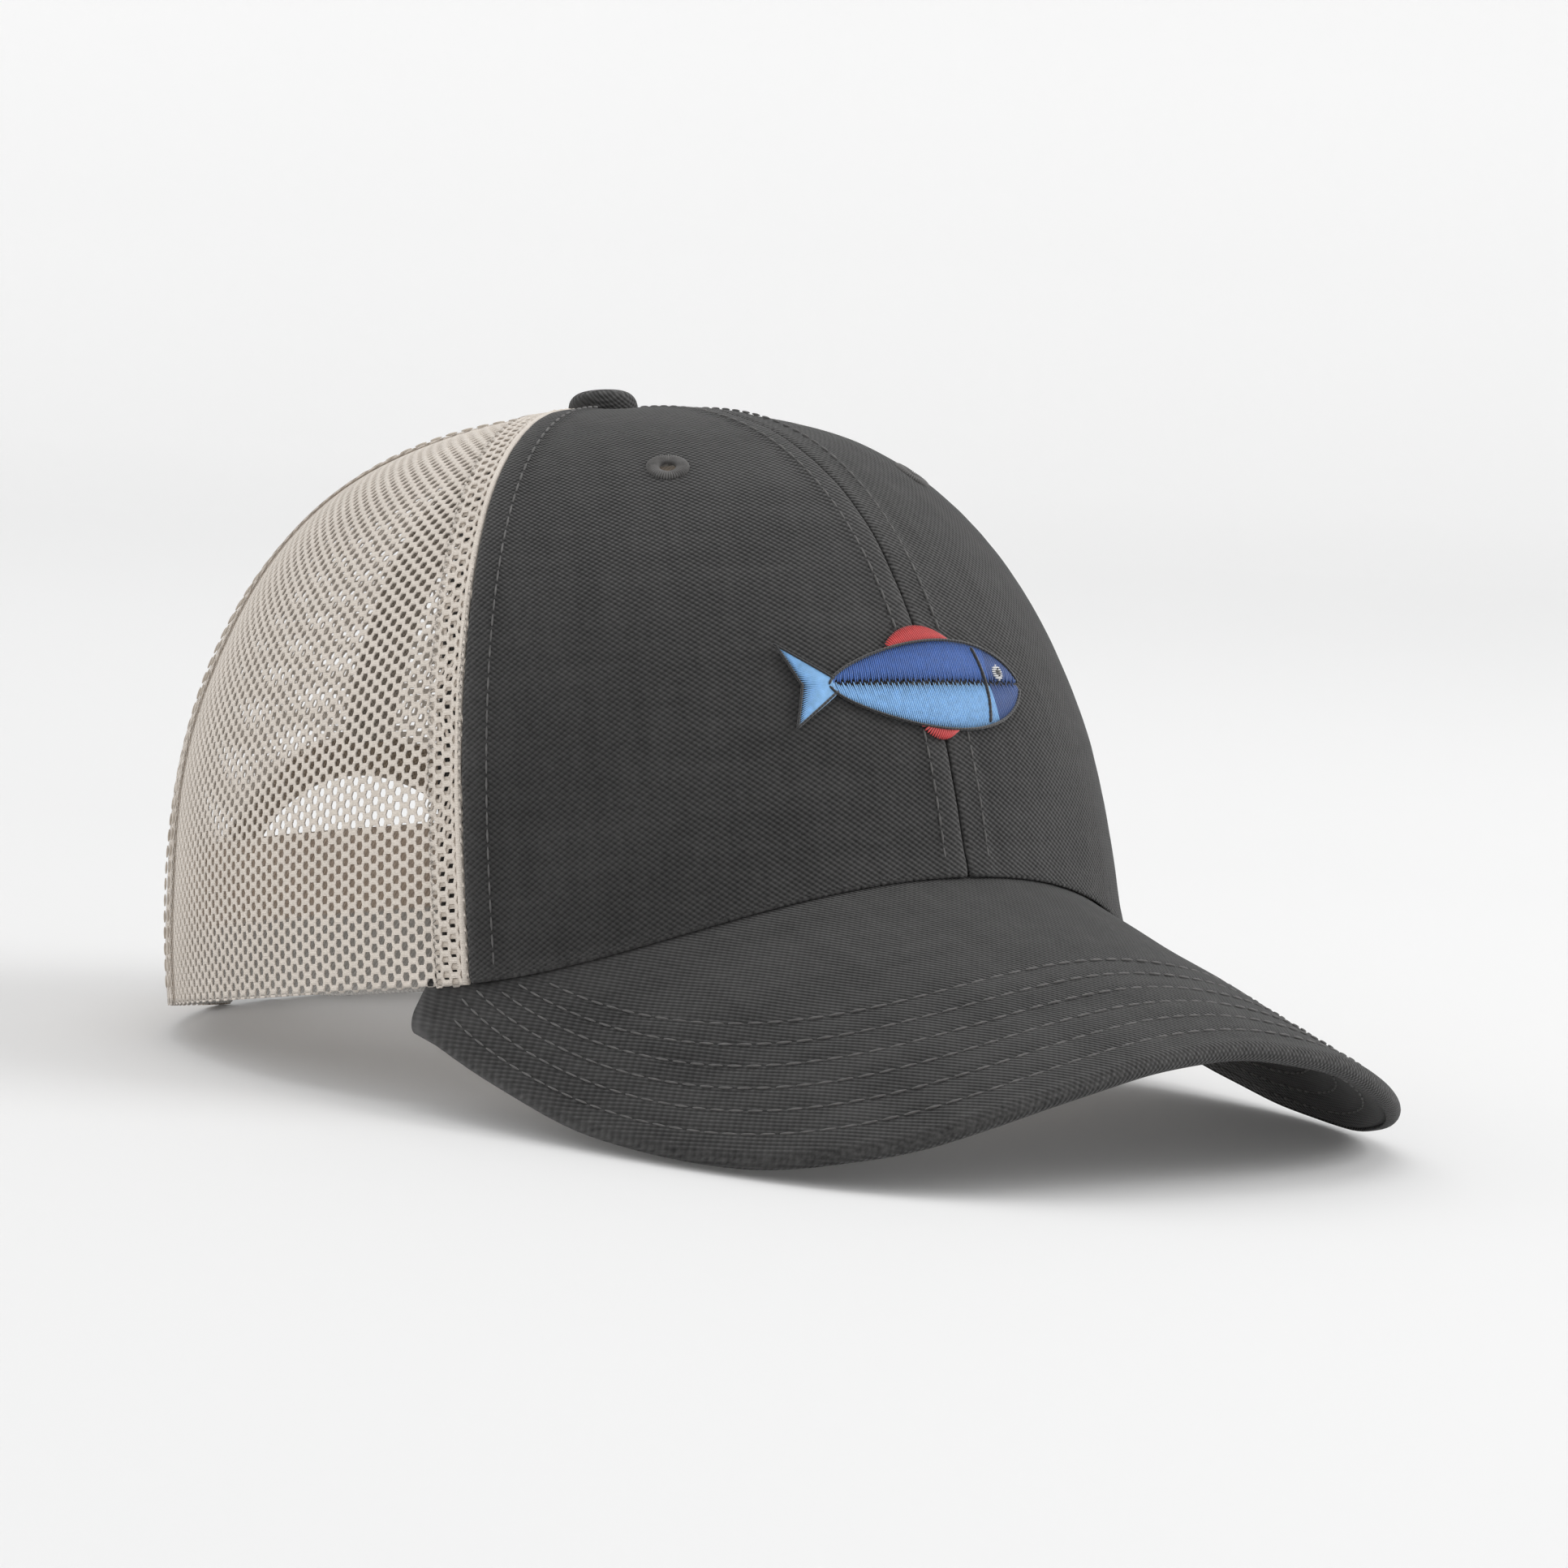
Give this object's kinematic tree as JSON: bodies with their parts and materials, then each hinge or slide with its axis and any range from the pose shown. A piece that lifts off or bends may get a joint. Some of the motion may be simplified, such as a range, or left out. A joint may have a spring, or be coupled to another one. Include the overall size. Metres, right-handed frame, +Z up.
{
  "type": "trucker mesh cap",
  "caption": "Cap with a stiff cloth front, open knitted mesh sides and back, a curved stitched brim and an adjustable snap strap across a rear opening.",
  "frame": {"origin": "middle of the cap's box, on the surface that the cap rests on", "axes": "+Z up, -Y to the front of the cap, +X to the wearer's left"},
  "size_m": [0.1732, 0.265, 0.1269],
  "materials": {
    "charcoal_canvas": "washed canvas, dull",
    "beige_mesh": "open knitted polyester mesh",
    "buckram": "stiffened open weave, white",
    "seam_tape": "woven cotton tape",
    "mesh_tape": "woven cotton tape",
    "sweatband_cloth": "soft twill",
    "binding_tape": "folded tape",
    "brim_plastic": "polyethylene board",
    "snap_plastic": "moulded black",
    "button_metal": "stamped",
    "charcoal_thread": "embroidery thread",
    "motif_thread": "satin stitched embroidery"
  },
  "bodies": {
    "cap": {"arch_binding": "binding_tape", "back_centre_tape": "mesh_tape", "back_mesh_left": "beige_mesh", "back_mesh_right": "beige_mesh", "brim_board": "brim_plastic", "brim_top_cover": "charcoal_canvas", "brim_under_cover": "charcoal_canvas", "buckram_left": "buckram", "buckram_right": "buckram", "button_cover": "charcoal_canvas", "button_rivet": "button_metal", "button_shell": "button_metal", "embroidered_motif": "motif_thread", "eyelet_left": "charcoal_thread", "eyelet_right": "charcoal_thread", "front_centre_tape": "seam_tape", "front_panel_left": "charcoal_canvas", "front_panel_right": "charcoal_canvas", "front_seam_tape_left": "seam_tape", "front_seam_tape_right": "seam_tape", "hole_strap_tab": "snap_plastic", "rear_seam_tape_left": "mesh_tape", "rear_seam_tape_right": "mesh_tape", "side_mesh_left": "beige_mesh", "side_mesh_right": "beige_mesh", "stud_strap_tab": "snap_plastic", "sweatband": "sweatband_cloth"},
    "hole_strap": {"hole_strap": "snap_plastic"},
    "stud_strap": {"stud_strap": "snap_plastic"}
  },
  "joints": [
    {"name": "hole_strap_hinge", "type": "hinge", "parent": "cap", "child": "hole_strap", "pos_m": [-0.0334, 0.12081, 0.0107], "axis": [0, 0.1591, 0.9873], "range_deg": [0, 70], "stiffness_Nm_per_rad": 0.02},
    {"name": "stud_strap_hinge", "type": "hinge", "parent": "cap", "child": "stud_strap", "pos_m": [0.0334, 0.11938, 0.01093], "axis": [0, 0.1591, 0.9873], "range_deg": [0, 25], "stiffness_Nm_per_rad": 0.02}
  ]
}
